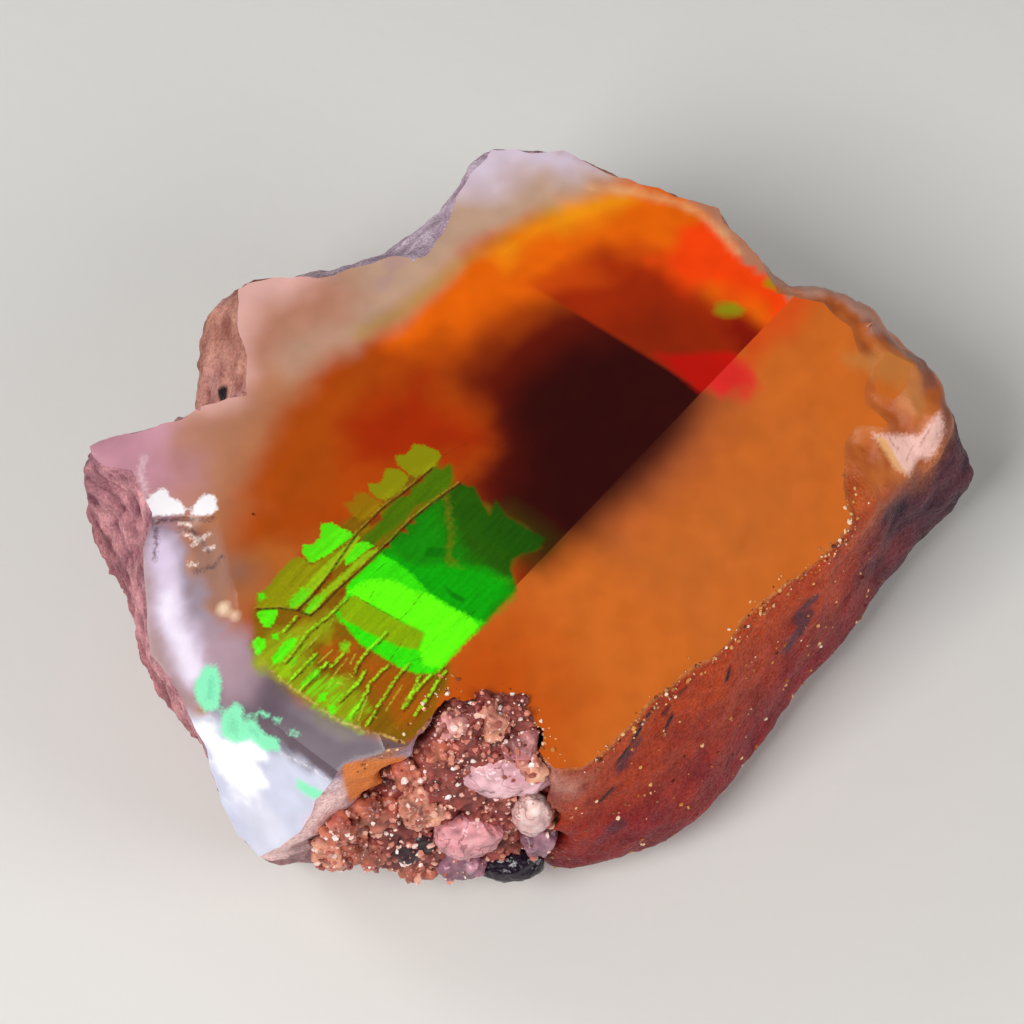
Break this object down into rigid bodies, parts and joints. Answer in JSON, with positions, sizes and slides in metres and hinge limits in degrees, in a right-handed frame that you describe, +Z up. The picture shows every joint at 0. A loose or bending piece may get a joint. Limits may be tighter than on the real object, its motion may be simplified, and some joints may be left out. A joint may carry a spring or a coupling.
{
  "type": "rough opal",
  "caption": "Rough precious opal nodule with a ground window across its top, a broken front corner, natural skin and a lump of host rock grown on its front.",
  "frame": {"origin": "bottom centre of the bounding box, on the resting face", "axes": "+Z up out of the resting face; +X along the stone's longest way, towards the end with the broad natural shelf; +Y to the back, away from the lump of host rock"},
  "size_m": [0.0382, 0.0314, 0.0144],
  "materials": {
    "opal": "polished flats, satin natural skin",
    "host_rock": "rough, granular"
  },
  "bodies": {
    "root": {"opal": "opal", "matrix": "host_rock"}
  },
  "joints": []
}
